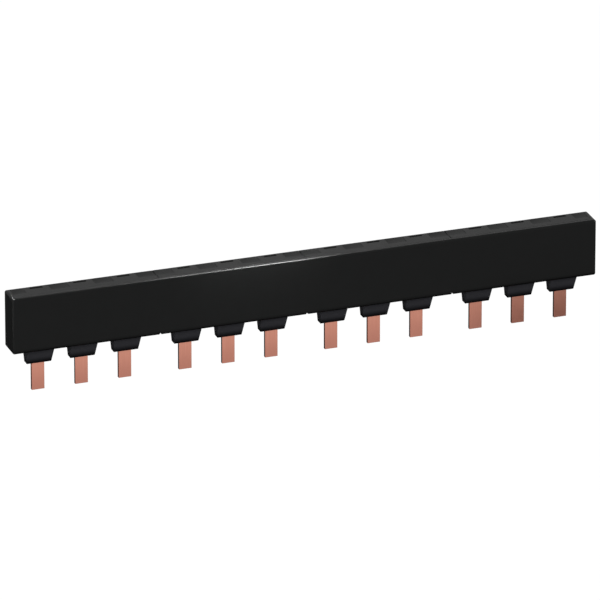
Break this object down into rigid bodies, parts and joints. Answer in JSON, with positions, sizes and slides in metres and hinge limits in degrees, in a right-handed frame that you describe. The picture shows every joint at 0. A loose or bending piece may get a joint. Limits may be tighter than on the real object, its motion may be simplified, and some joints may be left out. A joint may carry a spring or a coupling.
{
  "type": "comb busbar",
  "caption": "Slim black insulated bar with flat copper pins in tapered collars along its lower edge, which feeds a row of switching devices.",
  "frame": {"origin": "middle of the pin row, in the middle plane of the pins, level with the undersides of the collars", "axes": "+X along the bar, the smooth front face towards -Y, pins pointing to -Z"},
  "size_m": [0.1798, 0.0078, 0.0314],
  "materials": {
    "black_plastic": "satin black moulded insulation",
    "barrier_plastic": "matte dark grey moulded insulation",
    "copper": "bare rolled copper with a fine lengthwise grain"
  },
  "bodies": {
    "root": {"housing": "black_plastic", "top_and_back_cover": "black_plastic", "front_phase_comb": "copper", "middle_phase_comb": "copper", "rear_phase_comb": "copper", "front_phase_barrier": "barrier_plastic", "rear_phase_barrier": "barrier_plastic"}
  },
  "joints": []
}
